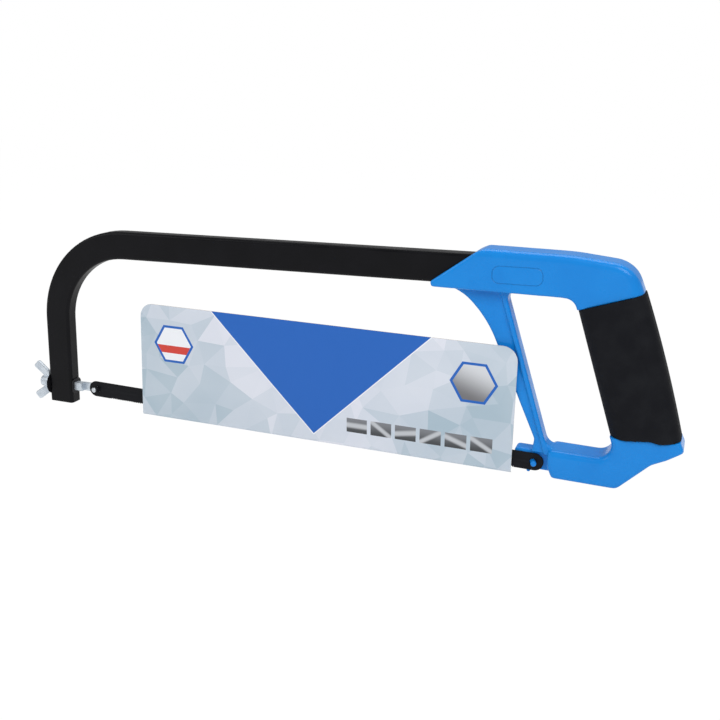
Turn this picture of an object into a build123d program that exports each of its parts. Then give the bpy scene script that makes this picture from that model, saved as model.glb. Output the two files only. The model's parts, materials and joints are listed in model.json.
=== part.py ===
from build123d import *
from math import acos, atan2, cos, hypot, pi, radians, sin, tan
import os

# Hand hacksaw, millimetres, +Z up. Origin: centre of the front blade hole.
# X runs along the blade towards the handle, Y across the saw, teeth face down.

# --- driving dimensions -------------------------------------------------------------
blade_holes = 300.0          # hole to hole, the length a blade is sold by
blade_height = 10.7
blade_thickness = 0.65
blade_overhang = 6.3         # from a hole to the blade's end
blade_hole_d = 4.0
tooth_pitch = 1.41           # 18 teeth to the inch
tooth_depth = 0.75

pin_d = 3.4
pin_lean = 16.0              # degrees, each pin leans away from the blade's pull
pin_reach = 4.2              # beyond the blade's middle plane

tube_height = 18.0
tube_width = 10.0
tube_wall = 1.5
tube_corner = 2.0
tube_rise = 2.3              # degrees, the top run climbs towards the handle
tube_over_pin = 104.2        # underside of the tube above the rear pin
tube_bend = 54.0             # centreline radius of the front bend
leg_reach = 26.7             # from the front hole to the leg's centreline
leg_lean = 0.73              # degrees, the leg's top leans forward
leg_foot = 11.7              # leg end below the blade line
socket_depth = 72.0          # how far the tube runs into the handle

stud_d = 5.0
tang_end = 5.2               # tang beyond the front hole
block_end = 11.3             # square shank ends this far short of the front hole
tang_thickness = 2.9
screw_spare = 0.8            # thread past the nut when the blade is tight

bush_d = 16.0                # outer bush, domed
bush_dome = 2.0
inner_flange = 0.6           # inner bush, a flange a little longer than the leg is wide
flange_height = 10.3
bush_wall = 0.85             # around the square guide hole
nut_base_r = 4.8
nut_top_r = 3.6
nut_height = 6.6
nut_wing_t = 2.6

handle_width = 22.0
handle_edge = 3.5            # edge rounding of the casting
handle_back_r = 7.0          # rounding of the box's rear corners, along the grip
hole_edge = 3.4              # edge rounding of the hand hole's floor
box_wall = 1.9               # casting around the tube, above and below
box_mouth = -66.6            # where the box starts, along the tube from above the rear pin
panel_length = 28.4          # shallow panel on each side of the box
panel_height = 9.8
panel_corner = 4.0
panel_groove = 0.8           # width of the line that outlines the panel
panel_depth = 0.3
hole_floor = 12.2            # floor of the hand hole above the blade line
step_behind_pin = 9.5        # near half of the foot starts here, past the blade's end
seat_ahead_of_pin = 11.6     # far half of the foot reaches this far past the rear pin
grip_width = 25.0
grip_lean = 19.8             # degrees
grip_wall = 3.0
seam_wave = 1.2              # how far the grip's bottom seam dips
web_width = 6.4
rib_width = 10.4
rib_depth = 2.9
rib_root = 5.0               # fillet between the rib and the box
strut_back = -9.6            # hand hole's front edge, from the rear pin, measured at grip_datum
grip_front = 30.0            # hand hole's rear edge, likewise
grip_back = 69.6
grip_datum = 60.0            # height at which the leaning lines are measured

card_length = 249.8
card_height = 79.2
card_sheet = 0.4
card_fold = 1.5              # outer radius of the fold under the teeth
card_flap = 30.0             # height of the back flap
flap_inset = 2.0             # the flap is cut this much shorter than the fold at each end
card_tilt = 0.7              # degrees, how it hangs on the blade
card_splay = 4.2             # degrees, front panel leans out past the strut
card_drop = 5.2              # fold below the teeth
card_to_pin = 12.7           # card's rear edge in front of the rear pin

# --- fits ----------------------------------------------------------------------------
slide_gap = 0.05             # running fit, each side
press_gap = 0.02             # pieces that are pressed or cast together
loose_gap = 0.3              # between parts that only pass each other
stud_clear = 0.75            # each side of the square shank inside the leg

# --- derived ---------------------------------------------------------------------------
blade_half = blade_thickness / 2
blade_edge = -blade_height / 2
seat_y = blade_half + loose_gap
nut_gap = slide_gap * 3
stud_square = tube_width - 2 * tube_wall - 2 * stud_clear    # passes between the tube's side walls
guide_square = stud_square + 2 * slide_gap
bush_spigot = guide_square + 2 * bush_wall
tang_back = min(seat_y + tang_thickness, stud_square / 2)
tube_end = box_mouth + socket_depth
foot_base = blade_edge + 0.75
card_base = blade_edge - card_drop
card_left = blade_holes - card_to_pin - card_length
rise = radians(tube_rise)
leg_tilt = radians(leg_lean)
lean = radians(grip_lean)
flange_lift = bush_d / 2 * tan(leg_tilt) + slide_gap / 2     # the leg leans under the square flange


def tube_point(s, t):
    """World X, Z of a point s along the tube's underside from above the rear pin, t above it."""
    return (blade_holes + s * cos(rise) - t * sin(rise),
            tube_over_pin + s * sin(rise) + t * cos(rise))


def rounded(corners):
    """Closed outline from (x, z, radius) corners, on the XZ plane."""
    edges = []
    joints = []
    count = len(corners)
    for i in range(count):
        ax, az, _ = corners[i - 1]
        bx, bz, r = corners[i]
        cx, cz, _ = corners[(i + 1) % count]
        in_x, in_z = (ax - bx) / hypot(ax - bx, az - bz), (az - bz) / hypot(ax - bx, az - bz)
        out_x, out_z = (cx - bx) / hypot(cx - bx, cz - bz), (cz - bz) / hypot(cx - bx, cz - bz)
        half = abs(atan2(in_x * out_z - in_z * out_x, in_x * out_x + in_z * out_z)) / 2
        if r == 0:
            joints.append(((bx, bz), None, (bx, bz)))
            continue
        cut = r / tan(half)
        mid = r / sin(half) - r
        mx, mz = in_x + out_x, in_z + out_z
        size = hypot(mx, mz)
        joints.append(((bx + in_x * cut, bz + in_z * cut),
                       (bx + mx / size * mid, bz + mz / size * mid),
                       (bx + out_x * cut, bz + out_z * cut)))
    for i in range(count):
        start, through, end = joints[i]
        if through is not None:
            edges.append(ThreePointArc(start, through, end))
        edges.append(Line(end, joints[(i + 1) % count][0]))
    return Plane.XZ * make_face(Curve() + edges)


def corner_fill(corner, along_a, along_b, radius):
    """Web that fills an inside corner between two unit directions, with a concave face."""
    half = acos(along_a[0] * along_b[0] + along_a[1] * along_b[1]) / 2
    cut = radius / tan(half)
    reach = radius / sin(half) - radius
    mid_x, mid_z = along_a[0] + along_b[0], along_a[1] + along_b[1]
    size = hypot(mid_x, mid_z)
    start = (corner[0] + along_a[0] * cut, corner[1] + along_a[1] * cut)
    middle = (corner[0] + mid_x / size * reach, corner[1] + mid_z / size * reach)
    end = (corner[0] + along_b[0] * cut, corner[1] + along_b[1] * cut)
    back = (corner[0] - mid_x / size, corner[1] - mid_z / size)
    edges = [ThreePointArc(start, middle, end), Line(end, back), Line(back, start)]
    return Plane.XZ * make_face(Curve() + edges)


def slab(face, y0, y1):
    """Prism of an XZ outline from y0 to y1."""
    prism = extrude(face, amount=(y1 - y0) / 2, both=True)
    return Pos(0, (y0 + y1) / 2, 0) * prism


def soften(solid, radius, keep):
    """Round the edges that keep() accepts."""
    edges = solid.edges().filter_by(keep)
    return fillet(edges, radius)


# --- frame tube --------------------------------------------------------------------------
def leg_x(z):
    return -leg_reach - z * tan(leg_tilt)


def tube_solid(height, width, corner, s_end):
    """The bent tube's outside or inside: leg, bend and top run."""
    end = tube_point(s_end, tube_height / 2)
    # where the leg's line meets the top run's line
    top_slope = tan(rise)
    x = (-leg_reach - tan(leg_tilt) * (end[1] - top_slope * end[0])) / (1 + tan(leg_tilt) * top_slope)
    apex = (x, end[1] + top_slope * (x - end[0]))
    foot = (leg_x(-leg_foot), -leg_foot)
    path = Plane.XZ * FilletPolyline([foot, apex, end], radius=tube_bend)
    section = Plane(origin=(foot[0], 0, foot[1]), x_dir=(0, 1, 0),
                    z_dir=(-sin(leg_tilt), 0, cos(leg_tilt))) * RectangleRounded(width, height, corner)
    return sweep(section, path=path)


def frame_tube():
    outer = tube_solid(tube_height, tube_width, tube_corner, tube_end)
    inner_corner = tube_corner - tube_wall * 0.8
    inner = tube_solid(tube_height - 2 * tube_wall, tube_width - 2 * tube_wall, inner_corner, tube_end)
    tube = outer - inner
    opening = bush_spigot + 2 * press_gap
    depth = tube_wall + inner_corner + slide_gap
    for side in (-1, 1):
        tube -= Pos(leg_face(side), 0, 0) * Box(2 * depth, opening, opening)
    return tube


# --- tensioner -----------------------------------------------------------------------------
def leg_face(side):
    """X of the leg's outer (-1) or inner (+1) face on the blade line."""
    return -leg_reach + side * tube_height / 2


def guide_bush(side):
    """Flange on the leg's face with a square spigot; a round hole in front, the square guide behind."""
    if side < 0:
        cap_r = (bush_d ** 2 / 4 + bush_dome ** 2) / (2 * bush_dome)
        flange = Pos(0, 0, bush_dome - cap_r) * Sphere(cap_r)
        flange &= Pos(0, 0, bush_dome / 2) * Cylinder(bush_d / 2, bush_dome)
    else:
        flange = RectangleRounded(flange_height, tube_width - 0.2, tube_width * 0.3)
        flange = extrude(flange, amount=inner_flange)
        flange = fillet(flange.edges().group_by(Axis.Z)[-1], inner_flange * 0.3)
    spigot = Pos(0, 0, -tube_wall / 2) * Box(bush_spigot, bush_spigot, tube_wall)
    bush = flange + spigot
    if side < 0:
        bush -= Cylinder(stud_d / 2 + loose_gap, 6 * bush_dome)
    else:
        bush -= Box(guide_square, guide_square, 6 * bush_dome)
    return Pos(leg_face(side) + side * flange_lift, 0, 0) * Rot(0, 90 * side, 0) * bush


nut_seat = leg_face(-1) - flange_lift - bush_dome - nut_gap
stud_tip = nut_seat - nut_height - screw_spare
shank_start = leg_face(-1) + tube_wall + 2.5      # square part starts inside the leg


def tension_stud():
    """Threaded end, square shank and half-thickness tang behind the blade."""
    screw = Rot(0, 90, 0) * Cylinder(stud_d / 2, shank_start - stud_tip)
    screw = Pos((stud_tip + shank_start) / 2, 0, 0) * screw
    screw = chamfer(screw.edges().group_by(Axis.X)[0], 0.7)
    shank = Pos((shank_start - block_end) / 2, 0, 0) * Box(-block_end - shank_start, stud_square, stud_square)
    shank = chamfer(shank.edges().filter_by(lambda e: abs(e.center().X + block_end) > 0.1), 0.5)
    half, inner = stud_square / 2, -block_end - 1.0
    flat = rounded([(inner, -half, 0), (tang_end, -half, half - 0.1), (tang_end, half, half - 0.1),
                    (inner, half, 0)])
    tang = slab(flat, seat_y, tang_back)
    stud = screw + shank + tang
    return stud - blade_pin(0, -1, press_gap)


def blade_pin(x, side, extra=0.0):
    """Pin through a blade hole; side +1 leans towards the handle, -1 towards the nut."""
    inner = tang_back if side < 0 else handle_width / 2 - handle_edge + 1.0
    length = (pin_reach + inner) / cos(radians(pin_lean))
    body = Pos(0, 0, (pin_reach - inner) / 2 / cos(radians(pin_lean))) * Cylinder(pin_d / 2 + extra, length)
    if not extra:
        body = fillet(body.edges().group_by(Axis.Z)[-1], 0.6)
    aim = Plane(origin=(x, 0, 0), x_dir=(0, 0, 1),
                z_dir=(side * sin(radians(pin_lean)), -cos(radians(pin_lean)), 0))
    pin = aim * body
    if side < 0:
        pin &= Pos(x, tang_back / 2 - 50, 0) * Box(60, 100 + tang_back, 60)
    return pin


def wing_nut():
    hub = Cone(nut_base_r, nut_top_r, nut_height)
    hub = fillet(hub.edges(), 0.6)
    hub = Pos(nut_seat - nut_height / 2, 0, 0) * Rot(0, -90, 0) * hub
    wings = []
    for side in (-1, 1):
        outline = rounded([(nut_seat - 0.3, side * 2.7, 0), (nut_seat - 0.5, side * 7.3, 3.0),
                           (nut_seat - 9.3, side * 14.3, 1.4), (nut_seat - 13.4, side * 9.9, 1.4),
                           (nut_seat - 5.2, side * 3.9, 1.0), (nut_seat - 5.2, side * 2.7, 0)])
        wing = slab(outline, -nut_wing_t / 2, nut_wing_t / 2)
        rims = wing.edges().filter_by(lambda e: abs(abs(e.center().Y) - nut_wing_t / 2) < 0.01
                                      and abs(e.center().Z) > nut_top_r + 0.4)
        wings.append(fillet(rims, 0.7))
    nut = hub + wings
    bore = Rot(0, 90, 0) * Cylinder(stud_d / 2 + slide_gap, nut_height * 4)
    return nut - Pos(nut_seat - nut_height / 2, 0, 0) * bore


# --- blade -----------------------------------------------------------------------------------
def hacksaw_blade():
    half = blade_height / 2
    left = -blade_overhang
    right = blade_holes + blade_overhang
    first = blade_hole_d * 2.5
    count = int((blade_holes - 2 * first) / tooth_pitch)
    teeth = []
    for i in range(count):
        x = first + i * tooth_pitch
        teeth += [(x, -half), (x + tooth_pitch * 0.12, -half + tooth_depth),
                  (x + tooth_pitch * 0.45, -half + tooth_depth)]
    points = [(left + half, -half)] + teeth + [(first + count * tooth_pitch, -half), (right - half, -half)]
    edges = [Line(points[i], points[i + 1]) for i in range(len(points) - 1)]
    edges.append(ThreePointArc((right - half, -half), (right, 0), (right - half, half)))
    edges.append(Line((right - half, half), (left + half, half)))
    edges.append(ThreePointArc((left + half, half), (left, 0), (left + half, -half)))
    blank = slab(Plane.XZ * make_face(Curve() + edges), -blade_half, blade_half)
    for x in (0, blade_holes):
        blank -= Pos(x, 0, 0) * Rot(90, 0, 0) * Cylinder(blade_hole_d / 2, 4 * blade_thickness)
    return blank


# --- handle ------------------------------------------------------------------------------------
def grip_line(x_pin, z):
    """X of a line parallel to the grip that passes x_pin from the rear pin at grip_datum."""
    return blade_holes + x_pin + (grip_datum - z) * tan(lean)


def seam_top(x):
    """The grip's top seam, square to the grip."""
    anchor_x, anchor_z = blade_holes + 17.3, tube_over_pin - 8.2
    return anchor_z + (x - anchor_x) * tan(lean)


def seam_bottom(x):
    """The grip's bottom seam, nearly level."""
    return hole_floor + 13.8 + (x - blade_holes - 42.3) * 0.065


def seam_bends():
    """Corners of the shallow wave in the bottom seam, from the hand hole to the heel."""
    bends = []
    for along, dip, radius in ((50.5, 0.75, 5.0), (64.5, 0.0, 3.5), (69.5, 1.0, 3.5)):
        x = blade_holes + along
        bends.append((x, seam_bottom(x) - dip * seam_wave, radius))
    return bends


def meet(line_pin, seam, z_guess):
    """Point where a grip-parallel line meets a seam."""
    z = z_guess
    for _ in range(40):
        z = seam(grip_line(line_pin, z))
    return grip_line(line_pin, z), z


def hand_hole():
    roof_left = tube_point(strut_back - 14.5, -box_wall - 0.5)
    roof_right = tube_point(grip_front - 15.0, -box_wall - 0.9)
    corners = [(roof_left[0], roof_left[1], 4.0), (roof_right[0], roof_right[1], 7.0),
               (grip_line(grip_front, hole_floor), hole_floor, 8.0),
               (grip_line(strut_back, hole_floor), hole_floor, 7.0)]
    return rounded(corners)


def rear_corner(side):
    """Post outside one of the box's two rounded rear corners, which run along the grip."""
    r = handle_back_r
    spare = 1.0
    plan = Pos((spare - r) / 2, side * (handle_width + spare - r) / 2) * Rectangle(r + spare, r + spare)
    plan -= Pos(-r, side * (handle_width / 2 - r)) * Circle(r)
    back = grip_line(grip_back - 0.6, grip_datum)
    plane = Plane(origin=(back, 0, grip_datum), x_dir=(cos(lean), 0, sin(lean)),
                  z_dir=(-sin(lean), 0, cos(lean)))
    return extrude(plane * plan, amount=3 * tube_over_pin, both=True)


def upper_box():
    """Thick top of the casting, around the tube's end and down to the grip's seam."""
    seam_rear = meet(grip_back - 0.6, seam_top, 109.0)
    seam_front = meet(grip_front - 8.0, seam_top, 95.0)
    wall = tube_height + 2 * box_wall
    slope = 0.705                        # the box's slanted front, rise over run
    tip = tube_point(box_mouth + 0.4, 0.3 - box_wall)
    nose = tube_point(box_mouth - 0.4, 1.4)
    brow_low = tube_point(box_mouth - 0.4 + (wall - 3.6) / slope, wall - 2.2)
    brow = tube_point(box_mouth - 0.7 + wall / slope, wall)
    crest = tube_point(12.8, wall - 0.9)
    heel = tube_point(45.5, wall - 4.6)
    inner = tube_point(9.0, -box_wall - 0.7)
    outline = rounded([(*tip, 0.5), (*nose, 0.5), (*brow_low, 0), (*brow, 0), (*crest, 120.0), (*heel, 18.0),
                       (*seam_rear, 0), (*seam_front, 0), (*inner, 0)])
    box = slab(outline, -handle_width / 2, handle_width / 2)
    middle = tube_point(0, tube_height / 2)[1]

    def rim(edge):
        c = edge.center()
        return abs(abs(c.Y) - handle_width / 2) < 0.01 and c.X > brow[0] and c.Z > middle - 3
    return soften(box, handle_edge, rim) - rear_corner(-1) - rear_corner(1)


def foot():
    """Bottom of the casting: heel, palm end and the step that clears the blade."""
    seam_rear = meet(grip_back - 0.4, seam_bottom, 28.0)
    seam_front = meet(grip_front, seam_bottom, 26.0)
    x = blade_holes
    floor_rear = grip_line(grip_front, hole_floor)
    outline = rounded([(*seam_front, 0), *seam_bends(), (*seam_rear, 0), (x + 83.4, hole_floor + 11.0, 1.8),
                       (x + 74.6, hole_floor + 4.9, 16.0), (x + 66.6, hole_floor + 0.7, 7.0),
                       (x + 49.5, foot_base, 5.0), (x + step_behind_pin + 3.1, foot_base, 1.6),
                       (x + step_behind_pin, foot_base + 6.6, 2.0),
                       (x + step_behind_pin - 0.6, hole_floor, 0), (floor_rear, hole_floor, 8.0)])
    block = slab(outline, -handle_width / 2, handle_width / 2)

    def on_side(edge):
        return abs(abs(edge.center().Y) - handle_width / 2) < 0.01

    def in_hole(edge):
        box = edge.bounding_box()
        return box.min.Z > hole_floor - 0.1 and box.max.X < floor_rear + 1

    def rim(edge):
        c = edge.center()
        return on_side(edge) and not in_hole(edge) and c.Z < seam_bottom(x) and c.X > x + step_behind_pin + 1
    block = soften(block, handle_edge * 0.6, rim)
    return soften(block, hole_edge, lambda e: on_side(e) and in_hole(e))


def blade_seat():
    """Far half of the casting beside the blade, with a small stop nub under it."""
    x = blade_holes
    top = blade_height / 2 + 1.7
    front = x - seat_ahead_of_pin
    back = x + step_behind_pin + 4
    low = foot_base - 0.3
    pad = rounded([(front, top, 1.5), (back, top, 0), (back, low, 0), (front, low, 2.0)])
    seat = slab(pad, seat_y, handle_width / 2)
    seat = soften(seat, 1.5, lambda e: abs(e.center().Y - handle_width / 2) < 0.01 and e.center().X < x + 8)
    nub_length, nub_width, nub_height = 2.6, 3.0, 3.6
    nub = Pos(x - 2.4, seat_y + nub_width / 2 + 0.1, foot_base - 1.0) * Box(nub_length, nub_width, nub_height)
    return seat + nub


def strut():
    """Front pillar: a thin web with a thicker rib along the hand hole."""
    x = blade_holes
    base = blade_height / 2 + 1.65
    head = tube_over_pin - 1.2
    start = tube_point(-64.0, -1.2)
    root_mid = (x - 52.0, tube_over_pin - 6.3)
    root_end = (x - 44.5, tube_over_pin - 11.0)
    arc_mid = (x - 34.4, tube_over_pin - 21.9)
    arc_end = (x - 26.7, tube_over_pin - 35.2)
    low = (x - 0.2, base + 8.0)
    heel = (x - 1.2, base)
    inside = (grip_line(strut_back - 2.0, base), base)
    under_box = tube_point(-20.0, 1.0)
    edges = [ThreePointArc(start, root_mid, root_end), ThreePointArc(root_end, arc_mid, arc_end),
             Line(arc_end, low), Line(low, heel), Line(heel, inside), Line(inside, under_box),
             Line(under_box, start)]
    web = slab(Plane.XZ * make_face(Curve() + edges), -web_width / 2, web_width / 2)
    front = strut_back - rib_depth
    back = strut_back + 3.0              # trimmed by the hand hole
    rib_corners = [(grip_line(front, head), head, 0), (grip_line(back, head), head, 0),
                   (grip_line(back, base), base, 0), (grip_line(front, base), base, 0)]
    rib = slab(rounded(rib_corners), -rib_width / 2, rib_width / 2)
    roof = tube_point(-20.0, -box_wall - 0.3)[1]
    corner = (grip_line(front, roof), roof)
    root = slab(corner_fill(corner, (-1.0, -tan(rise)), (sin(lean), -cos(lean)), rib_root),
                -rib_width / 2, rib_width / 2)
    turn = (grip_line(strut_back, hole_floor), hole_floor)
    root_low = slab(corner_fill(turn, (1.0, 0.0), (-sin(lean), cos(lean)), 10.0),
                    -rib_width / 2, rib_width / 2)
    return web + rib + root + root_low - slab(hand_hole(), -handle_width, handle_width)


def grip_outline(inset):
    """Side view of the grip between its seams, inset from the outside."""
    front = grip_front + inset / cos(lean)
    back = grip_back - inset / cos(lean)
    a = meet(front, seam_bottom, 26.0)
    b = meet(back, seam_bottom, 28.0)
    c = meet(back, seam_top, 109.0)
    d = meet(front, seam_top, 95.0)
    mid_z = (b[1] + c[1]) / 2
    belly = (grip_line(back, mid_z) + 0.8, mid_z + 1.0)
    swell = Plane.XZ * make_face(Curve() + [ThreePointArc(b, belly, c), Line(c, b)])
    return rounded([(*a, 0), *seam_bends(), (*b, 0), (*c, 0), (*d, 0)]) + swell


def rounded_grip(inset, radius, width):
    block = slab(grip_outline(inset), -width / 2, width / 2)

    def long_rim(edge):
        box = edge.bounding_box()
        return abs(abs(edge.center().Y) - width / 2) < 0.01 and box.size.Z > 30
    return soften(block, radius, long_rim)


def rubber_grip():
    return rounded_grip(0, 9.0, grip_width) - rounded_grip(grip_wall, 6.5, grip_width - 2 * grip_wall)


def handle_casting():
    core_inset = grip_wall + press_gap
    core = rounded_grip(core_inset, 6.5, grip_width - 2 * core_inset)
    box = upper_box() - slab(hand_hole(), -handle_width, handle_width)
    body = box + core + foot() + strut() + blade_seat()
    run_in = 10.0                        # the socket's cut starts this far ahead of the box
    socket_start = tube_point(box_mouth - run_in, tube_height / 2)
    socket = RectangleRounded(tube_height + 2 * press_gap, tube_width + 2 * press_gap, tube_corner)
    axis = Plane(origin=(socket_start[0], 0, socket_start[1]), x_dir=(-sin(rise), 0, cos(rise)),
                 z_dir=(cos(rise), 0, sin(rise)))
    body -= extrude(axis * socket, amount=run_in + socket_depth + press_gap)
    body -= blade_pin(blade_holes, 1, press_gap)
    half = panel_groove / 2
    panel = RectangleRounded(panel_length + half * 2, panel_height + half * 2, panel_corner + half)
    panel -= RectangleRounded(panel_length - half * 2, panel_height - half * 2, panel_corner - half)
    mid = tube_point(-16.7, 8.0)
    for side in (-1, 1):
        face = Plane(origin=(mid[0], side * handle_width / 2, mid[1]), x_dir=(cos(rise), 0, sin(rise)),
                     z_dir=(0, side, 0)) * panel
        body -= extrude(face, amount=-panel_depth)
    return body


# --- printed card ------------------------------------------------------------------------------
def card_section(side, height, splay):
    """Half of the folded sheet in the YZ plane: side -1 is the front panel, +1 the back flap."""
    tilt = radians(splay)
    inner = card_fold - card_sheet
    last = pi / 2 - tilt

    def arc_at(radius, angle):
        return (side * radius * sin(angle), -radius * cos(angle))

    def up(point):
        reach = height - card_fold
        return (point[0] + side * sin(tilt) * reach, point[1] + cos(tilt) * reach)
    outer_end = arc_at(card_fold, last)
    inner_end = arc_at(inner, last)
    edges = [ThreePointArc(arc_at(card_fold, 0), arc_at(card_fold, last / 2), outer_end),
             Line(outer_end, up(outer_end)), Line(up(outer_end), up(inner_end)), Line(up(inner_end), inner_end),
             ThreePointArc(inner_end, arc_at(inner, last / 2), arc_at(inner, 0)),
             Line(arc_at(inner, 0), arc_at(card_fold, 0))]
    return Plane.YZ * make_face(Curve() + edges)


def card_part(side, height, splay, corner, inset=0.0):
    section = Pos(card_left, 0, card_base + card_fold) * card_section(side, height, splay)
    sheet = extrude(section, amount=card_length)
    right = card_left + card_length
    low, high = card_base - 1, card_base + height
    shape = rounded([(card_left + inset, low, 0), (right - inset, low, 0), (right - inset, high, corner),
                     (card_left + inset, high, corner)])
    sheet &= slab(shape, -20, 20)
    mid_x = card_left + card_length / 2
    mid_z = card_base + card_height / 2
    return Pos(mid_x, 0, mid_z) * Rot(0, -card_tilt, 0) * Pos(-mid_x, 0, -mid_z) * sheet


# --- build ---------------------------------------------------------------------------------------
parts = {
    "frame_tube": frame_tube(),
    "handle_casting": handle_casting(),
    "rubber_grip": rubber_grip(),
    "rear_blade_pin": blade_pin(blade_holes, 1),
    "outer_guide_bush": guide_bush(-1),
    "inner_guide_bush": guide_bush(1),
    "wing_nut": wing_nut(),
    "tension_stud": tension_stud(),
    "front_blade_pin": blade_pin(0, -1),
    "hacksaw_blade": hacksaw_blade(),
    "card_front_panel": card_part(-1, card_height, card_splay, 7.5),
    "card_back_flap": card_part(1, card_flap, 1.0, 3.0, flap_inset),
}

os.makedirs("parts", exist_ok=True)
for name, solid in parts.items():
    export_step(solid, f"parts/{name}.step")
    print(name, round(solid.volume, 1), len(solid.solids()))
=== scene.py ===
import json
import math
import random

import bmesh
import bpy
from mathutils import Matrix, Vector
from mathutils.bvhtree import BVHTree
from mathutils.geometry import delaunay_2d_cdt


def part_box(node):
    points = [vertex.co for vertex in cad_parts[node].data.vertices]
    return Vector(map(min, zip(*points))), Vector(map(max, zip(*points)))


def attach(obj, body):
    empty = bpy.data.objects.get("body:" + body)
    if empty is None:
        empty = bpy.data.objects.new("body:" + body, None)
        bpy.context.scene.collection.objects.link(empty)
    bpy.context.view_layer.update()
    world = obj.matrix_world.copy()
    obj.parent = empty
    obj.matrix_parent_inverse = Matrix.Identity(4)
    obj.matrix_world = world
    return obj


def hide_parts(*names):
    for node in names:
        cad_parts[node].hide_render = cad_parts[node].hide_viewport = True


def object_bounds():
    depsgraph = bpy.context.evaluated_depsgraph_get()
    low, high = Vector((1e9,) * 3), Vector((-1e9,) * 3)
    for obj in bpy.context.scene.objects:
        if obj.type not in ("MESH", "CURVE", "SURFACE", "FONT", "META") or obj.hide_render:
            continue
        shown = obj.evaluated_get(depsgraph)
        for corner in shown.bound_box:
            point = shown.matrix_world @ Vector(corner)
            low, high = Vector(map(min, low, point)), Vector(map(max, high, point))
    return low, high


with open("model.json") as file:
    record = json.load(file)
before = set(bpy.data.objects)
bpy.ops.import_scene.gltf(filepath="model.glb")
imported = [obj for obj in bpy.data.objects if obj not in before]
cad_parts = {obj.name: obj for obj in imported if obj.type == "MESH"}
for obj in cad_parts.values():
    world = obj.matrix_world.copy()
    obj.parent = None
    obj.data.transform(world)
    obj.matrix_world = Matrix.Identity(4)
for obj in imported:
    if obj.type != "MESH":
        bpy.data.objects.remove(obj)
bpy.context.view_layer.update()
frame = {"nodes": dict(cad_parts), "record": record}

mm = 0.001
nodes = frame["nodes"]
print("hacksaw: frame loaded,", len(nodes), "nodes")


# shader maths
class Wire:
    # one socket of a material's tree, so that shader maths reads as plain Python
    def __init__(self, tree, socket=None):
        self.tree = tree
        self.socket = socket

    def make(self, kind, settings=None, out=0, **inputs):
        node = self.tree.nodes.new(kind)
        for key, value in (settings or {}).items():
            if key == "stops":
                ramp = node.color_ramp
                while len(ramp.elements) < len(value):
                    ramp.elements.new(0.5)
                for element, (place, colour) in zip(ramp.elements, value):
                    element.position = place
                    element.color = colour
            else:
                setattr(node, key, value)
        for key, value in inputs.items():
            slot = node.inputs[int(key[1:])] if key[0] == "_" else node.inputs[key.replace("_", " ")]
            if isinstance(value, Wire):
                self.tree.links.new(value.socket, slot)
            else:
                slot.default_value = value
        return Wire(self.tree, node.outputs[out])

    def sum(self, operation, *values):
        inputs = {"_%d" % i: value for i, value in enumerate(values)}
        return self.make("ShaderNodeMath", {"operation": operation}, **inputs)

    def __add__(self, other):
        return self.sum("ADD", self, other)

    def __radd__(self, other):
        return self.sum("ADD", other, self)

    def __sub__(self, other):
        return self.sum("SUBTRACT", self, other)

    def __rsub__(self, other):
        return self.sum("SUBTRACT", other, self)

    def __mul__(self, other):
        return self.sum("MULTIPLY", self, other)

    def __rmul__(self, other):
        return self.sum("MULTIPLY", other, self)

    def __truediv__(self, other):
        return self.sum("DIVIDE", self, other)

    def __rtruediv__(self, other):
        return self.sum("DIVIDE", other, self)

    def __neg__(self):
        return self.sum("MULTIPLY", self, -1.0)

    def __abs__(self):
        return self.sum("ABSOLUTE", self)

    def over(self, limit):
        return self.sum("GREATER_THAN", self, limit)

    def under(self, limit):
        return self.sum("LESS_THAN", self, limit)

    def smallest(self, other):
        return self.sum("MINIMUM", self, other)

    def biggest(self, other):
        return self.sum("MAXIMUM", self, other)

    def fade(self, low, high, toLow=0.0, toHigh=1.0):
        return self.make("ShaderNodeMapRange", {"interpolation_type": "SMOOTHSTEP"}, _0=self, _1=low, _2=high,
                         _3=toLow, _4=toHigh)

    def blendTo(self, under, above):
        # self is the factor; under and above are colours
        return self.make("ShaderNodeMix", {"data_type": "RGBA"}, out=2, _0=self, _6=under, _7=above)


def newMaterial(name):
    material = bpy.data.materials.new(name)
    material.use_nodes = True
    tree = material.node_tree
    shader = tree.nodes["Principled BSDF"]
    return material, Wire(tree), shader


def plug(tree, shader, **values):
    for key, value in values.items():
        slot = shader.inputs[key.replace("_", " ")]
        if isinstance(value, Wire):
            tree.links.new(value.socket, slot)
        else:
            slot.default_value = value


def objectPlace(wire):
    return wire.make("ShaderNodeTexCoord", out=3)


def noise(wire, place, scale, detail=2.0, rough=0.5):
    return wire.make("ShaderNodeTexNoise", Vector=place, Scale=scale, Detail=detail, Roughness=rough)


def bump(wire, height, distance, strength=1.0, under=None):
    extra = {"Normal": under} if under else {}
    return wire.make("ShaderNodeBump", Height=height, Distance=distance, Strength=strength, **extra)


# materials
def powderBlack():
    look = {"colour": (0.0030, 0.0030, 0.0042, 1), "light": (0.0046, 0.0046, 0.0062, 1), "grain": 2600.0,
            "grainDepth": 0.00002, "roughness": (0.30, 0.40)}
    material, wire, shader = newMaterial("powderBlack")
    place = objectPlace(wire)
    cloud = noise(wire, place, 60.0, 3.0)
    grain = noise(wire, place, look["grain"], 2.0)
    low, high = look["roughness"]
    plug(material.node_tree, shader, Base_Color=cloud.fade(0.3, 0.7).blendTo(look["colour"], look["light"]),
         Roughness=cloud.fade(0.3, 0.7, low, high), Normal=bump(wire, grain, look["grainDepth"]),
         Specular_IOR_Level=0.13)
    return material


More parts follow.
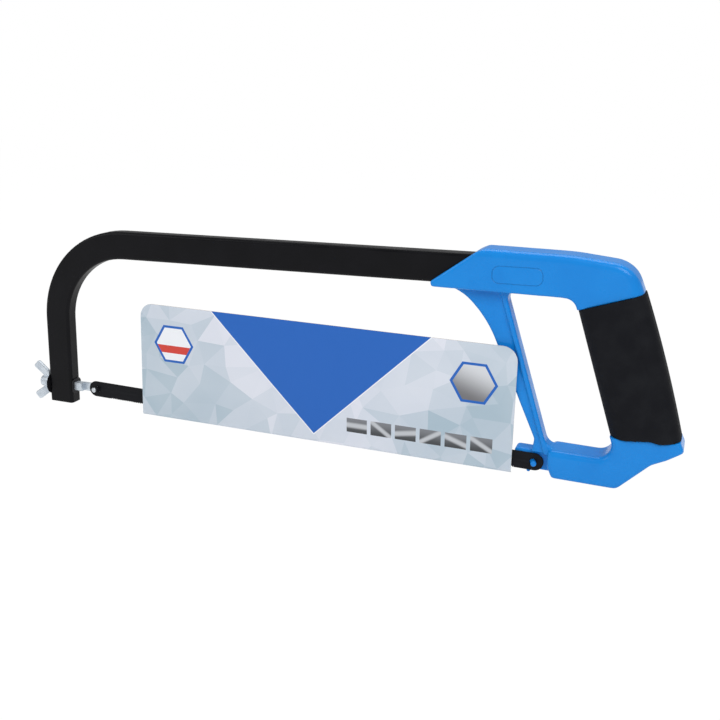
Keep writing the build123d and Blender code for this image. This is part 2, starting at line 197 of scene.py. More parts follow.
def pressedLine(wire, place):
    # 1 on the fine line around the shallow panel on both sides of the box, 0 elsewhere
    look = {"middle": (0.2830, 0.1116), "length": 0.0284, "height": 0.0098, "corner": 0.0040, "slope": 2.3,
            "wide": 0.00042, "side": 0.0100}
    parts = wire.make("ShaderNodeSeparateXYZ", Vector=place)
    y, z = (Wire(wire.tree, parts.socket.node.outputs[i]) for i in (1, 2))
    cos, sin = math.cos(math.radians(look["slope"])), math.sin(math.radians(look["slope"]))
    dx, dz = parts - look["middle"][0], z - look["middle"][1]
    along = abs(dx * cos + dz * sin) - (look["length"] / 2 - look["corner"])
    up = abs(dz * cos - dx * sin) - (look["height"] / 2 - look["corner"])
    out = wire.sum("SQRT", along.biggest(0.0) * along.biggest(0.0) + up.biggest(0.0) * up.biggest(0.0))
    edge = abs(out + along.biggest(up).smallest(0.0) - look["corner"])
    return edge.fade(0.0, look["wide"], 1.0, 0.0) * abs(y).over(look["side"])


def glossBlue():
    look = {"colour": (0.006, 0.236, 0.700, 1), "deep": (0.005, 0.214, 0.660, 1), "peel": 900.0,
            "peelDepth": 0.00003, "roughness": (0.24, 0.34), "paintedGrooveShade": (0.004, 0.150, 0.480, 1),
            "grooveDepth": 0.00025}
    material, wire, shader = newMaterial("glossBlue")
    place = objectPlace(wire)
    cloud = noise(wire, place, 45.0, 3.0)
    peel = noise(wire, place, look["peel"], 1.5)
    line = pressedLine(wire, place)
    low, high = look["roughness"]
    colour = cloud.fade(0.3, 0.7).blendTo(look["colour"], look["deep"])
    # painted shade along the pressed line: the base colour turns darker where the groove runs, besides its
    # bump
    colour = (line * 0.5).blendTo(colour, look["paintedGrooveShade"])
    relief = bump(wire, peel, look["peelDepth"], under=bump(wire, -line, look["grooveDepth"]))
    plug(material.node_tree, shader, Base_Color=colour, Roughness=cloud.fade(0.35, 0.65, low, high),
         Normal=relief, Specular_IOR_Level=0.18, Coat_Weight=0.14, Coat_Roughness=0.12)
    return material


def gripRubber():
    look = {"colour": (0.0055, 0.0060, 0.0085, 1), "dusty": (0.0090, 0.0098, 0.0125, 1), "grain": 3800.0,
            "grainDepth": 0.00006, "roughness": (0.62, 0.78)}
    material, wire, shader = newMaterial("gripRubber")
    place = objectPlace(wire)
    cloud = noise(wire, place, 90.0, 4.0)
    grain = noise(wire, place, look["grain"], 2.5)
    low, high = look["roughness"]
    plug(material.node_tree, shader, Base_Color=cloud.fade(0.35, 0.75).blendTo(look["colour"], look["dusty"]),
         Roughness=grain.fade(0.3, 0.7, low, high), Normal=bump(wire, grain, look["grainDepth"]),
         Specular_IOR_Level=0.12)
    return material


def bushPlastic():
    look = {"colour": (0.010, 0.010, 0.012, 1), "light": (0.014, 0.014, 0.016, 1), "grain": 350.0,
            "grainDepth": 0.00002, "roughness": (0.34, 0.46)}
    material, wire, shader = newMaterial("bushPlastic")
    cloud = noise(wire, objectPlace(wire), look["grain"], 2.0)
    low, high = look["roughness"]
    plug(material.node_tree, shader, Base_Color=cloud.fade(0.3, 0.7).blendTo(look["colour"], look["light"]),
         Roughness=cloud.fade(0.3, 0.7, low, high), Normal=bump(wire, cloud, look["grainDepth"]),
         Specular_IOR_Level=0.15)
    return material


def zincPlate():
    look = {"colour": (0.64, 0.70, 0.76, 1), "cloudy": (0.52, 0.58, 0.65, 1), "roughness": (0.28, 0.46),
            "clouds": 220.0, "grain": 2400.0, "grainDepth": 0.000015, "metal": 0.65}
    material, wire, shader = newMaterial("zincPlate")
    place = objectPlace(wire)
    cloud = noise(wire, place, look["clouds"], 4.0)
    fine = noise(wire, place, look["grain"], 2.0)
    low, high = look["roughness"]
    plug(material.node_tree, shader, Base_Color=cloud.fade(0.35, 0.7).blendTo(look["colour"], look["cloudy"]),
         Metallic=look["metal"], Roughness=cloud.fade(0.3, 0.7, low, high),
         Normal=bump(wire, fine, look["grainDepth"]))
    return material


def pinSteel():
    # near black like the blade, a painted shade on the pin's body; its tip bright, a painted highlight
    look = {"colour": (0.010, 0.010, 0.013, 1), "paintedTipHighlight": (0.62, 0.66, 0.70, 1), "tip": (0.0034, 0.0041),
            "ragged": 0.0004, "grain": 700.0, "grainDepth": 0.00002, "metal": 0.8, "roughness": (0.34, 0.50)}
    material, wire, shader = newMaterial("pinSteel")
    place = objectPlace(wire)
    parts = wire.make("ShaderNodeSeparateXYZ", Vector=place)
    cloud = noise(wire, place, look["grain"], 3.0)
    outwards = -Wire(wire.tree, parts.socket.node.outputs[1])
    # painted highlight: the pin's outer tip, along -y, is painted bright and metallic
    paintedTipHighlight = (outwards + cloud * look["ragged"]).fade(*look["tip"])
    low, high = look["roughness"]
    plug(material.node_tree, shader, Base_Color=paintedTipHighlight.blendTo(look["colour"], look["paintedTipHighlight"]),
         Metallic=paintedTipHighlight * look["metal"], Roughness=cloud.fade(0.3, 0.7, low, high),
         Normal=bump(wire, cloud, look["grainDepth"]), Specular_IOR_Level=0.15)
    return material


def bladeBlack():
    look = {"colour": (0.0050, 0.0055, 0.0075, 1), "light": (0.0095, 0.0100, 0.0125, 1), "brushed": 900.0,
            "brushDepth": 0.00001, "roughness": (0.38, 0.52)}
    material, wire, shader = newMaterial("bladeBlack")
    place = objectPlace(wire)
    along = wire.make("ShaderNodeMapping", Vector=place, Scale=(0.06, 1.0, 1.0))
    streak = noise(wire, along, look["brushed"], 3.0)
    low, high = look["roughness"]
    colour = streak.fade(0.35, 0.75).blendTo(look["colour"], look["light"])
    plug(material.node_tree, shader, Base_Color=colour, Roughness=streak.fade(0.3, 0.7, low, high),
         Normal=bump(wire, streak, look["brushDepth"]), Specular_IOR_Level=0.12)
    return material


def plainCard():
    look = {"colour": (0.62, 0.66, 0.70, 1), "fleck": (0.56, 0.60, 0.64, 1), "fibre": 1500.0,
            "fibreDepth": 0.00001, "roughness": (0.55, 0.70)}
    material, wire, shader = newMaterial("plainCard")
    fibre = noise(wire, objectPlace(wire), look["fibre"], 4.0)
    low, high = look["roughness"]
    plug(material.node_tree, shader, Base_Color=fibre.fade(0.4, 0.7).blendTo(look["colour"], look["fleck"]),
         Roughness=fibre.fade(0.3, 0.7, low, high), Normal=bump(wire, fibre, look["fibreDepth"]))
    return material


def cutEdge():
    look = {"colour": (0.62, 0.52, 0.40, 1), "fleck": (0.50, 0.40, 0.30, 1), "fibre": 2500.0,
            "roughness": 0.85}
    material, wire, shader = newMaterial("cutEdge")
    fibre = noise(wire, objectPlace(wire), look["fibre"], 3.0)
    plug(material.node_tree, shader, Base_Color=fibre.fade(0.3, 0.7).blendTo(look["colour"], look["fleck"]),
         Roughness=look["roughness"])
    return material


finish = {"black_paint": powderBlack(), "blue_paint": glossBlue(), "grip_rubber": gripRubber(),
          "black_plastic": bushPlastic(), "zinc_plate": zincPlate(), "blade_steel": bladeBlack(),
          "printed_card": plainCard()}
print("hacksaw: plain finishes made")


# mesh helpers
def addMesh(name, mesh):
    piece = bpy.data.objects.new(name, mesh)
    bpy.context.scene.collection.objects.link(piece)
    return piece


def applied(piece):
    # the evaluated mesh takes the place of the mesh and its modifiers
    done = bpy.data.meshes.new_from_object(piece.evaluated_get(bpy.context.evaluated_depsgraph_get()))
    old = piece.data
    piece.modifiers.clear()
    piece.data = done
    bpy.data.meshes.remove(old)
    return piece


def mergedCopy(node, name):
    mesh = bpy.data.meshes.new(name)
    work = bmesh.new()
    work.from_mesh(nodes[node].data)
    bmesh.ops.remove_doubles(work, verts=work.verts, dist=1e-6)
    work.to_mesh(mesh)
    work.free()
    return addMesh(name, mesh)


def closenessTo(tree, spot, near, far):
    # 0 next to the other piece, 1 beyond far
    found = tree.find_nearest(spot, far)
    if found[0] is None:
        return 1.0
    share = max(0.0, min(1.0, (found[3] - near) / (far - near)))
    return share * share * (3 - 2 * share)


def softened(piece, voxel, rounds, limit, crisp=()):
    # a cast or moulded form: small voxels, then rounded edges, then fewer triangles
    # crisp lists (node, near, far, least): edges by that node keep their shape
    remesh = piece.modifiers.new("voxels", "REMESH")
    remesh.mode = "VOXEL"
    remesh.voxel_size = voxel
    applied(piece)
    smooth = piece.modifiers.new("round", "SMOOTH")
    smooth.factor = 0.5
    smooth.iterations = rounds
    if crisp:
        group = piece.vertex_groups.new(name="soft")
        trees = [(BVHTree.FromPolygons([v.co for v in nodes[n].data.vertices],
                                       [p.vertices[:] for p in nodes[n].data.polygons]), near, far, least)
                 for n, near, far, least in crisp]
        for vertex in piece.data.vertices:
            share = min(least + (1 - least) * closenessTo(tree, vertex.co, near, far)
                        for tree, near, far, least in trees)
            group.add([vertex.index], share, "REPLACE")
        smooth.vertex_group = "soft"
    applied(piece)
    triangles = sum(len(p.vertices) - 2 for p in piece.data.polygons)
    if triangles > limit:
        thin = piece.modifiers.new("thin", "DECIMATE")
        thin.ratio = limit / triangles
        applied(piece)
    piece.data.polygons.foreach_set("use_smooth", [True] * len(piece.data.polygons))
    return piece


def settle(piece, body, slot, *stands):
    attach(piece, body)
    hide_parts(*stands)
    return piece


def dress(piece, *materials):
    piece.data.materials.clear()
    for material in materials:
        piece.data.materials.append(material)
    return piece


# trees of geometry nodes
def newTree(name, **sizes):
    # a tree with a geometry input and a named float input for each size
    tree = bpy.data.node_groups.new(name, "GeometryNodeTree")
    tree.interface.new_socket("Geometry", in_out="INPUT", socket_type="NodeSocketGeometry")
    for size, value in sizes.items():
        socket = tree.interface.new_socket(size, in_out="INPUT", socket_type="NodeSocketFloat")
        socket.default_value = value
    tree.interface.new_socket("Geometry", in_out="OUTPUT", socket_type="NodeSocketGeometry")
    start = tree.nodes.new("NodeGroupInput")
    return tree, Wire(tree), {socket.name: Wire(tree, socket) for socket in start.outputs if socket.name}


def endTree(tree, wire, material, *shapes):
    # joins the shapes, makes them real and gives them their finish
    joined = tree.nodes.new("GeometryNodeJoinGeometry")
    for shape in shapes:
        tree.links.new(shape.socket, joined.inputs[0])
    real = wire.make("GeometryNodeRealizeInstances", Geometry=Wire(tree, joined.outputs[0]))
    done = wire.make("GeometryNodeSetMaterial", Geometry=real, Material=material)
    end = tree.nodes.new("NodeGroupOutput")
    tree.links.new(done.socket, end.inputs[0])


def grow(piece, tree, **sizes):
    # runs the tree on the piece, with these sizes, and keeps the plain mesh
    run = piece.modifiers.new(tree.name, "NODES")
    run.node_group = tree
    names = {item.name: item.identifier for item in tree.interface.items_tree if item.in_out == "INPUT"}
    for size, value in sizes.items():
        run[names[size]] = value
    return applied(piece)


# handle and grip
def castHandle():
    look = {"voxel": 0.46 * mm, "rounds": 36, "triangles": 185000,
            "crisp": [("rubber_grip", 0.8 * mm, 3.5 * mm, 0.0), ("frame_tube", 0.3 * mm, 3.0 * mm, 0.05),
                      ("rear_blade_pin", 0.2 * mm, 2.0 * mm, 0.05)]}
    piece = softened(mergedCopy("handle_casting", "handleCasting"), look["voxel"], look["rounds"],
                     look["triangles"], look["crisp"])
    dress(piece, finish["blue_paint"])
    return settle(piece, "frame", "blue_paint", "handle_casting")


def mouldedGrip():
    look = {"voxel": 0.5 * mm, "rounds": 4, "triangles": 120000}
    piece = softened(mergedCopy("rubber_grip", "rubberGrip"), look["voxel"], look["rounds"],
                     look["triangles"])
    dress(piece, finish["grip_rubber"])
    return settle(piece, "frame", "grip_rubber", "rubber_grip")


castHandle()
mouldedGrip()
print("hacksaw: handle cast, grip moulded")


# wing nut and stud
def castNut():
    look = {"voxel": 0.22 * mm, "rounds": 4, "triangles": 60000}
    piece = softened(mergedCopy("wing_nut", "wingNut"), look["voxel"], look["rounds"], look["triangles"])
    dress(piece, finish["zinc_plate"])
    return settle(piece, "nut", "zinc_plate", "wing_nut")


def threadTree():
    # a ridge wound around the stud's core, joined to the stud
    tree, wire, size = newTree("threadTree", pitch=0.0008, turns=12.0, core=0.002, ridge=0.0003, start=0.0)
    spiral = wire.make("GeometryNodeCurveSpiral", Resolution=28, Rotations=size["turns"],
                       Start_Radius=size["core"], End_Radius=size["core"],
                       Height=size["turns"] * size["pitch"])
    profile = wire.make("GeometryNodeCurvePrimitiveCircle", {"mode": "RADIUS"}, Resolution=4,
                        Radius=size["ridge"])
    ridge = wire.make("GeometryNodeCurveToMesh", Curve=spiral, Profile_Curve=profile, Fill_Caps=True)
    place = wire.make("ShaderNodeCombineXYZ", X=size["start"], Y=0.0, Z=0.0)
    turned = wire.make("GeometryNodeTransform", Geometry=ridge, Translation=place,
                       Rotation=(0.0, math.radians(90.0), 0.0))
    endTree(tree, wire, finish["zinc_plate"], size["Geometry"], turned)
    return tree


def threadedStud():
    look = {"core": 0.00216, "pitch": 0.0008, "ridge": 0.00030, "plain": 0.0008}
    piece = mergedCopy("tension_stud", "threadedStud")
    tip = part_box("tension_stud")[0].x
    radii = [math.hypot(v.co.y, v.co.z) for v in piece.data.vertices if v.co.x < tip + 0.002]
    outer = max(radii)
    screwEnd = max(v.co.x for v in piece.data.vertices if abs(math.hypot(v.co.y, v.co.z) - outer) < 1e-6)
    for vertex in piece.data.vertices:
        if vertex.co.x < screwEnd + 1e-6 and math.hypot(vertex.co.y, vertex.co.z) <= outer + 1e-6:
            vertex.co.y *= look["core"] / outer
            vertex.co.z *= look["core"] / outer
    turns = (screwEnd - tip - 2 * look["plain"]) / look["pitch"]
    grow(piece, threadTree(), pitch=look["pitch"], turns=turns, core=look["core"], ridge=look["ridge"],
         start=tip + look["plain"])
    return settle(piece, "tensioner", "zinc_plate", "tension_stud")


castNut()
threadedStud()
print("hacksaw: wing nut and threaded stud made")


# blade
blade = {"holes": 0.300, "overhang": 0.0063, "holeRadius": 0.002, "half": 0.00535, "thick": 0.00065,
         "edge": 0.00006, "first": 0.010, "pitch": 0.00141, "deep": 0.00075, "swing": 0.00012, "wave": 8.0}
toothCount = int((blade["holes"] - 2 * blade["first"]) / blade["pitch"])


def bladePlate():
    # the plate above the teeth, with its two round ends and two holes
    look = blade
    flat = bpy.data.curves.new("bladeFlat", "CURVE")
    flat.dimensions = "2D"
    flat.fill_mode = "BOTH"
    flat.extrude = look["thick"] / 2 - look["edge"]
    flat.bevel_depth = look["edge"]
    inner = look["half"] - look["edge"]
    reach = look["overhang"] - look["half"]
    roundSteps = 24
    outline = []
    for step in range(roundSteps + 1):
        angle = math.radians(90 - step * 180 / roundSteps)
        outline.append((look["holes"] + reach + inner * math.cos(angle), inner * math.sin(angle)))
    first, last = look["first"], look["first"] + toothCount * look["pitch"]
    root = -inner + look["deep"]
    outline += [(last, -inner), (last, root), (first, root), (first, -inner)]
    outline += [(look["holes"] - x, -y) for x, y in outline[:roundSteps + 1]]
    rings = [outline]
    for centre in (0.0, look["holes"]):
        grown = look["holeRadius"] + look["edge"]
        rings.append([(centre + grown * math.cos(math.radians(-a)), grown * math.sin(math.radians(-a)))
                      for a in range(0, 360, 10)])
    for ring in rings:
        spline = flat.splines.new("POLY")
        spline.points.add(len(ring) - 1)
        for point, (x, y) in zip(spline.points, ring):
            point.co = (x, y, 0.0, 1.0)
        spline.use_cyclic_u = True
    holder = addMesh("bladeFlat", flat)
    mesh = bpy.data.meshes.new_from_object(holder.evaluated_get(bpy.context.evaluated_depsgraph_get()))
    bpy.data.objects.remove(holder)
    mesh.transform(Matrix.Rotation(math.radians(90.0), 4, "X"))
    return addMesh("sawBlade", mesh)


def toothShape():
    # one tooth, its cutting face upright and its back sloped, hanging from its root
    pitch, depth, half = blade["pitch"], blade["deep"] + blade["edge"] / 2, blade["thick"] / 2
    profile = [(0.0, 0.0), (pitch * 0.98, 0.0), (pitch * 0.98, -depth * 0.08), (pitch * 0.72, -depth),
               (pitch * 0.60, -depth)]
    corners = [(x, side, z) for side in (-half, half) for x, z in profile]
    count = len(profile)
    faces = [tuple(range(count)), tuple(reversed(range(count, 2 * count)))]
    faces += [(i, i + count, (i + 1) % count + count, (i + 1) % count) for i in range(count)]
    mesh = bpy.data.meshes.new("toothShape")
    mesh.from_pydata(corners, [], faces)
    work = bmesh.new()
    work.from_mesh(mesh)
    bmesh.ops.recalc_face_normals(work, faces=work.faces)
    work.to_mesh(mesh)
    work.free()
    return addMesh("toothShape", mesh)


def teethTree(tooth):
    # teeth in a row, swung to one side and the other in a slow wave, joined to the plate
    tree, wire, size = newTree("teethTree", first=0.01, pitch=0.0014, count=10.0, root=0.0, swing=0.0,
                               wave=8.0)
    start = wire.make("ShaderNodeCombineXYZ", X=size["first"], Y=0.0, Z=size["root"])
    step = wire.make("ShaderNodeCombineXYZ", X=size["pitch"], Y=0.0, Z=0.0)
    row = wire.make("GeometryNodeMeshLine", {"mode": "OFFSET"}, Count=size["count"], Start_Location=start,
                    Offset=step)
    number = wire.make("GeometryNodeInputIndex")
    side = wire.sum("SINE", number * (2 * math.pi) / size["wave"]) * size["swing"]
    sideways = wire.make("ShaderNodeCombineXYZ", Y=side)
    moved = wire.make("GeometryNodeSetPosition", Geometry=row, Offset=sideways)
    shape = wire.make("GeometryNodeObjectInfo", out=4, Object=tooth)
    teeth = wire.make("GeometryNodeInstanceOnPoints", Points=moved, Instance=shape)
    endTree(tree, wire, finish["blade_steel"], size["Geometry"], teeth)
    return tree


def sawBlade():
    piece = bladePlate()
    tooth = toothShape()
    grow(piece, teethTree(tooth), first=blade["first"], pitch=blade["pitch"], count=float(toothCount),
         root=blade["deep"] - blade["half"], swing=blade["swing"], wave=blade["wave"])
    bpy.data.objects.remove(tooth)
    return settle(piece, "blade", "blade_steel", "hacksaw_blade")


sawBlade()
print("hacksaw: blade cut")


# printed card
card = {"length": 249.8, "height": 79.2, "fold": 1.5, "splay": 4.2, "tilt": 0.7, "corner": 9.0, "sheet": 0.4,
        "drop": 10.55, "rearGap": 12.7, "holes": 300.0, "skewLow": -1.7, "skewHigh": 2.6}
cardArc = math.radians(90.0 - card["splay"])
cardTop = card["height"] - card["fold"] + card["fold"] * cardArc
facetLook = {"seed": 41, "stepU": 17.0, "stepV": 14.5, "jitter": 0.38, "dark": (0.390, 0.500, 0.580),
             "light": (0.725, 0.750, 0.830), "spread": 0.34, "field": (62.0, 188.0),
             "slant": 0.9, "reach": 70.0, "near": 0.84, "fall": 0.62, "power": 1.4}
printLook = {"fieldLeft": 53.8, "fieldTip": (123.2, 6.6), "fieldRight": 198.0, "border": 0.6,
             "badgeLeft": (24.8, 54.1), "badgeRight": (224.8, 54.9), "badge": 12.6, "rim": 1.5,
             "tileStart": 145.5, "tilePitch": 15.8, "tileWide": 13.4, "tileBase": 11.4, "tileHigh": 9.4,
             "blue": (0.008, 0.118, 0.490, 1), "red": (0.640, 0.052, 0.035, 1),
             "white": (0.86, 0.88, 0.92, 1), "fieldTop": 79.7, "soft": 0.12, "bandDown": 3.6, "bandHalf": 2.6,
             "sheenDark": (0.16, 0.16, 0.17, 1), "sheenLight": (0.66, 0.68, 0.71, 1),
             "tileDark": (0.05, 0.055, 0.06, 1), "tileGrey": (0.20, 0.21, 0.23, 1),
             "tileBar": (0.52, 0.54, 0.57, 1)}


def cardPoint(u, v):
    # a point of the outer face, u along the fold and v up the sheet from under the teeth, in millimetres
    # its left end is cut a little off square
    fold = card["fold"]
    skew = card["skewLow"] + (card["skewHigh"] - card["skewLow"]) * v / cardTop
    u += skew * (1 - u / card["length"]) ** 6
    angle = min(v / fold, cardArc)
    past = max(v - fold * cardArc, 0.0)
    splay = math.radians(card["splay"])
    y = -fold * math.sin(angle) - math.sin(splay) * past
    z = fold - fold * math.cos(angle) + math.cos(splay) * past - card["drop"]
    left = card["holes"] - card["rearGap"] - card["length"]
    turn = math.radians(card["tilt"])
    du = u - card["length"] / 2
    dz = z + card["drop"] - card["height"] / 2
    x = left + card["length"] / 2 + du * math.cos(turn) - dz * math.sin(turn)
    z = card["height"] / 2 - card["drop"] + du * math.sin(turn) + dz * math.cos(turn)
    return Vector((x, y, z)) * mm


def cardOutline():
    length, corner = card["length"], card["corner"]
    points = [(0.0, 0.0), (length, 0.0)]
    for centre, first in ((length - corner, 0), (corner, 90)):
        for step in range(9):
            angle = math.radians(first + step * 11.25)
            points.append((centre + corner * math.cos(angle), cardTop - corner + corner * math.sin(angle)))
    return [Vector(p) for p in points]


def facetTone(u, v, draw):
    # facets pale beside the blue field and darker towards the card's ends
    look = facetLook
    left, right = look["field"]
    inwards = (cardTop - v) * look["slant"]
    reach = min(min(abs(u - left - inwards), abs(u - right + inwards)) / look["reach"], 1.0)
    share = look["near"] - look["fall"] * reach ** look["power"]
    share += look["spread"] * (draw.random() - 0.5) * 1.5
    share = max(0.0, min(1.0, share))
    return [d + (l - d) * share for d, l in zip(facetLook["dark"], facetLook["light"])]


def coarseFacets():
    draw = random.Random(facetLook["seed"])
    columns = int(card["length"] / facetLook["stepU"]) + 3
    rows = int(cardTop / facetLook["stepV"]) + 3
    points = []
    for row in range(rows):
        for column in range(columns):
            u = (column - 1 + 0.5 * (row % 2)) * facetLook["stepU"]
            v = (row - 1) * facetLook["stepV"]
            points.append(Vector((u + draw.uniform(-1, 1) * facetLook["jitter"] * facetLook["stepU"],
                                  v + draw.uniform(-1, 1) * facetLook["jitter"] * facetLook["stepV"])))
    corners, _, faces, _, _, _ = delaunay_2d_cdt(points, [], [], 0, 1e-6)
    tones = []
    for face in faces:
        middle = sum((corners[i] for i in face), Vector((0.0, 0.0))) / len(face)
        tones.append(facetTone(middle.x, middle.y, draw))
    return corners, faces, tones


def onSheet(p):
    # inside the sheet's outline, whose two top corners are rounded
    length, corner = card["length"], card["corner"]
    if not (0 < p.x < length and 0 < p.y < cardTop):
        return False
    past = max(corner - p.x, p.x - (length - corner), 0.0)
    above = max(p.y - (cardTop - corner), 0.0)
    return math.hypot(past, above) < corner


def insideTriangle(p, a, b, c):
    first = (b - a).cross(p - a)
    second = (c - b).cross(p - b)
    third = (a - c).cross(p - c)
    return (first >= 0 and second >= 0 and third >= 0) or (first <= 0 and second <= 0 and third <= 0)


def printedPanel():
    coarse, triangles, tones = coarseFacets()
    outline = cardOutline()
    points = list(outline) + list(coarse)
    lines = [(i, (i + 1) % len(outline)) for i in range(len(outline))]
    shift = len(outline)
    for face in triangles:
        for i in range(3):
            lines.append((shift + face[i], shift + face[(i + 1) % 3]))
    foldRows = 6
    for row in range(1, foldRows + 1):
        v = card["fold"] * cardArc * row / foldRows
        lines.append((len(points), len(points) + 1))
        points += [Vector((0.0, v)), Vector((card["length"], v))]
    flat, _, faces, _, _, _ = delaunay_2d_cdt(points, lines, [], 0, 1e-6)
    shown = []
    faceTones = []
    for face in faces:
        middle = sum((flat[i] for i in face), Vector((0.0, 0.0))) / len(face)
        if not onSheet(middle):
            continue
        for triangle, tone in zip(triangles, tones):
            if insideTriangle(middle, *(coarse[i] for i in triangle)):
                shown.append(face)
                faceTones.append(tone)
                break
    used = sorted({i for face in shown for i in face})
    renumber = {old: new for new, old in enumerate(used)}
    mesh = bpy.data.meshes.new("cardPanel")
    mesh.from_pydata([cardPoint(*flat[i]) for i in used], [], [[renumber[i] for i in face] for face in shown])
    tone = mesh.attributes.new("tone", "FLOAT_COLOR", "FACE")
    place = mesh.uv_layers.new(name="sheet")
    for polygon, colour in zip(mesh.polygons, faceTones):
        tone.data[polygon.index].color = (*colour, 1.0)
        for loop in polygon.loop_indices:
            spot = flat[used[mesh.loops[loop].vertex_index]]
            place.data[loop].uv = (spot.x / card["length"], spot.y / card["length"])
    if mesh.polygons[0].normal.y > 0:
        mesh.flip_normals()
    piece = addMesh("cardPanel", mesh)
    dress(piece, cardPrint(), finish["printed_card"], cutEdge())
    wall = piece.modifiers.new("sheet", "SOLIDIFY")
    wall.thickness = card["sheet"] * mm
    wall.offset = -1.0
    wall.use_even_offset = True
    wall.material_offset = 1
    wall.material_offset_rim = 2
    applied(piece)
    return settle(piece, "card", "printed_card", "card_front_panel")


def sideOf(u, v, start, end):
    # distance of (u, v) from the line start-end, positive on its left
    du, dv = end[0] - start[0], end[1] - start[1]
    size = math.hypot(du, dv)
    return u * (-dv / size) + v * (du / size) + (start[0] * dv - start[1] * du) / size


def hexagon(u, v, centre):
    across = abs(u - centre[0])
    up = abs(v - centre[1])
    return up.biggest(across * math.cos(math.radians(30)) + up * 0.5) - printLook["badge"]


def printedBadge(colour, badge, inner):
    # a filled hexagon inside a blue rim
    soft, half = printLook["soft"], printLook["rim"] / 2
    colour = badge.fade(-soft, soft, 1.0, 0.0).blendTo(colour, inner)
    return abs(badge + half).fade(half, half + soft, 1.0, 0.0).blendTo(colour, printLook["blue"])


def cardPrint():
    look = printLook
    material, wire, shader = newMaterial("cardPrint")
    tree = material.node_tree
    uv = wire.make("ShaderNodeUVMap", {"uv_map": "sheet"})
    parts = wire.make("ShaderNodeSeparateXYZ", Vector=uv)
    u = parts * card["length"]
    v = Wire(tree, parts.socket.node.outputs[1]) * card["length"]
    colour = wire.make("ShaderNodeAttribute", {"attribute_name": "tone", "attribute_type": "GEOMETRY"})
    cloud = noise(wire, objectPlace(wire), 28.0, 1.0)
    colour = cloud.fade(0.3, 0.75, 0.0, 0.12).blendTo(colour, look["white"])
    tip, top = look["fieldTip"], look["fieldTop"]
    left = sideOf(u, v, tip, (look["fieldLeft"], top)) * -1.0
    right = sideOf(u, v, tip, (look["fieldRight"], top))
    inside = left.smallest(right)
    soft = look["soft"]
    colour = inside.fade(-look["border"] - soft, -look["border"] + soft).blendTo(colour, look["white"])
    colour = inside.fade(-soft, soft).blendTo(colour, look["blue"])
    # left badge: white, with a plain red band
    badge = hexagon(u, v, look["badgeLeft"])
    band = abs(v - (look["badgeLeft"][1] - look["bandDown"])).under(look["bandHalf"])
    inner = band.blendTo(look["white"], look["red"])
    colour = printedBadge(colour, badge, inner)
    # right badge: a plain metal sheen
    badge = hexagon(u, v, look["badgeRight"])
    sheen = (v + (u - look["badgeRight"][0]) * 0.35 - look["badgeRight"][1]).fade(-12.0, 12.0)
    inner = sheen.blendTo(look["sheenDark"], look["sheenLight"])
    colour = printedBadge(colour, badge, inner)
    # six small blank pictures: a dark ground with one paler bar
    along = u - look["tileStart"]
    number = wire.sum("FLOOR", along / look["tilePitch"])
    local = along - number * look["tilePitch"]
    height = v - look["tileBase"]
    frameMask = local.under(look["tileWide"]) * height.over(0.0) * height.under(look["tileHigh"])
    frameMask = frameMask * along.over(0.0) * along.under(6 * look["tilePitch"])
    slant = wire.sum("SINE", number * 1.7)
    bar = abs((local - look["tileWide"] / 2) * slant * 0.7 + (height - look["tileHigh"] / 2))
    ground = height.fade(0.0, look["tileHigh"]).blendTo(look["tileDark"], look["tileGrey"])
    picture = bar.fade(0.6, 2.6, 1.0, 0.0).blendTo(ground, look["tileBar"])
    colour = frameMask.blendTo(colour, picture)
    fibre = noise(wire, objectPlace(wire), 1500.0, 4.0)
    plug(tree, shader, Base_Color=colour, Roughness=fibre.fade(0.3, 0.7, 0.42, 0.5), Specular_IOR_Level=0.4)
    return material


printedPanel()
print("hacksaw: card printed")


# CAD nodes that keep their shape
for name, node in nodes.items():
    slotName = next(p["material_slot"] for p in frame["record"]["subparts"] if p["node"] == name)
    node.data.materials.clear()
    node.data.materials.append(pinSteel() if name == "front_blade_pin" else finish[slotName])


# floor, light and camera
def floorMaterial(name, share):
    material = bpy.data.materials.new(name)
    material.use_nodes = True
    tree = material.node_tree
    tree.nodes.clear()
    wire = Wire(tree)
    output = tree.nodes.new("ShaderNodeOutputMaterial")
    path = tree.nodes.new("ShaderNodeLightPath")
    seen = Wire(tree, path.outputs["Is Camera Ray"]).biggest(Wire(tree, path.outputs["Is Glossy Ray"]))
    seen = seen.biggest(Wire(tree, path.outputs["Is Transmission Ray"]))
    matte = wire.make("ShaderNodeBsdfDiffuse", Color=(0.9, 0.9, 0.9, 1))
    glow = wire.make("ShaderNodeEmission", Color=(1, 1, 1, 1), Strength=1.022)
    mixed = wire.make("ShaderNodeMixShader", _0=seen * share, _1=matte, _2=glow)
    tree.links.new(mixed.socket, output.inputs["Surface"])
    return material


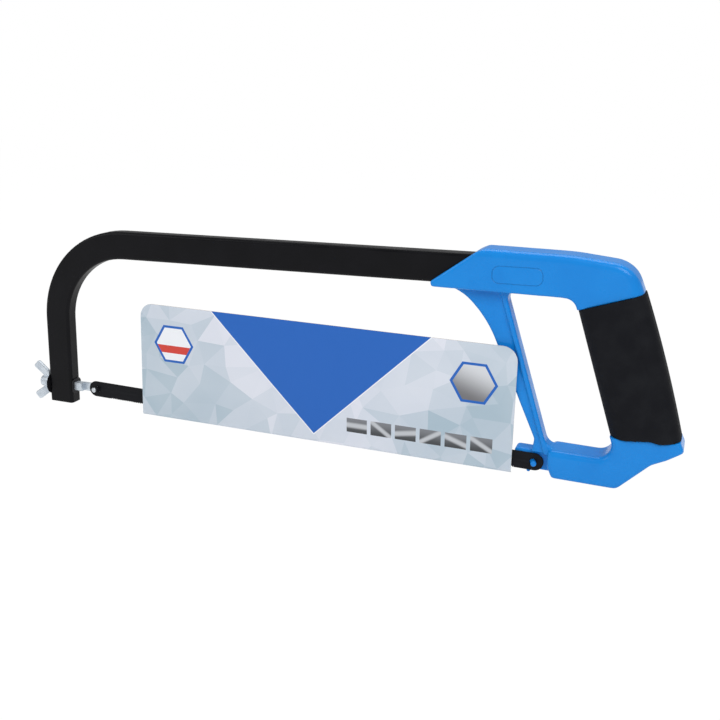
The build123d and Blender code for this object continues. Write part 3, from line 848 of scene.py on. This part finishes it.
def studio():
    look = {"floorSize": 4.0, "floorDrop": 0.031, "floorShare": 0.965, "sky": 0.40, "aim": (0.15, 0.0, 0.05),
            "lamps": (("keyLight", (0.75, -0.80, 0.85), 0.7, 7.6), ("fillLight", (-0.7, -0.7, 0.6), 0.6, 2.6),
                      ("topLight", (0.2, 0.35, 1.0), 0.8, 5.4))}
    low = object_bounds()[0]
    half = look["floorSize"] / 2
    level = low.z - look["floorDrop"]  # leaves the card room to slide down
    mesh = bpy.data.meshes.new("floor")
    mesh.from_pydata([(-half, -half, level), (half, -half, level), (half, half, level), (-half, half, level)],
                     [], [(0, 1, 2, 3)])
    ground = addMesh("floor", mesh)
    dress(ground, floorMaterial("paleFloor", look["floorShare"]))

    world = bpy.data.worlds.new("studioSky")
    bpy.context.scene.world = world
    world.use_nodes = True
    tree = world.node_tree
    back = tree.nodes["Background"]
    path = tree.nodes.new("ShaderNodeLightPath")
    seen = Wire(tree, path.outputs["Is Camera Ray"])
    back.inputs["Color"].default_value = (1, 1, 1, 1)
    strength = seen.fade(0.0, 1.0, look["sky"], 1.0)
    tree.links.new(strength.socket, back.inputs["Strength"])

    middle = Vector(look["aim"])
    for name, place, size, power in look["lamps"]:
        lamp = bpy.data.lights.new(name, "AREA")
        lamp.size = size
        lamp.energy = power
        holder = bpy.data.objects.new(name, lamp)
        holder.location = place
        holder.rotation_euler = (middle - Vector(place)).to_track_quat("-Z", "Y").to_euler()
        bpy.context.scene.collection.objects.link(holder)


def addCamera():
    look = {"lens": 48.8, "place": (0.3765, -0.5418, 0.2170), "right": (0.94029, 0.33780, 0.04170),
            "up": (-0.13376, 0.25410, 0.95788)}
    data = bpy.data.cameras.new("camera")
    data.sensor_width = 36.0
    data.lens = look["lens"]
    data.clip_start = 0.01
    right = Vector(look["right"]).normalized()
    up = Vector(look["up"])
    up = (up - right * up.dot(right)).normalized()
    back = right.cross(up)
    turned = Matrix((right, up, back)).transposed().to_4x4()
    holder = bpy.data.objects.new("camera", data)
    holder.matrix_world = Matrix.Translation(Vector(look["place"])) @ turned
    bpy.context.scene.collection.objects.link(holder)
    bpy.context.scene.camera = holder


studio()
addCamera()
bpy.context.scene.view_settings.view_transform = "Standard"
print("hacksaw: studio and camera ready")
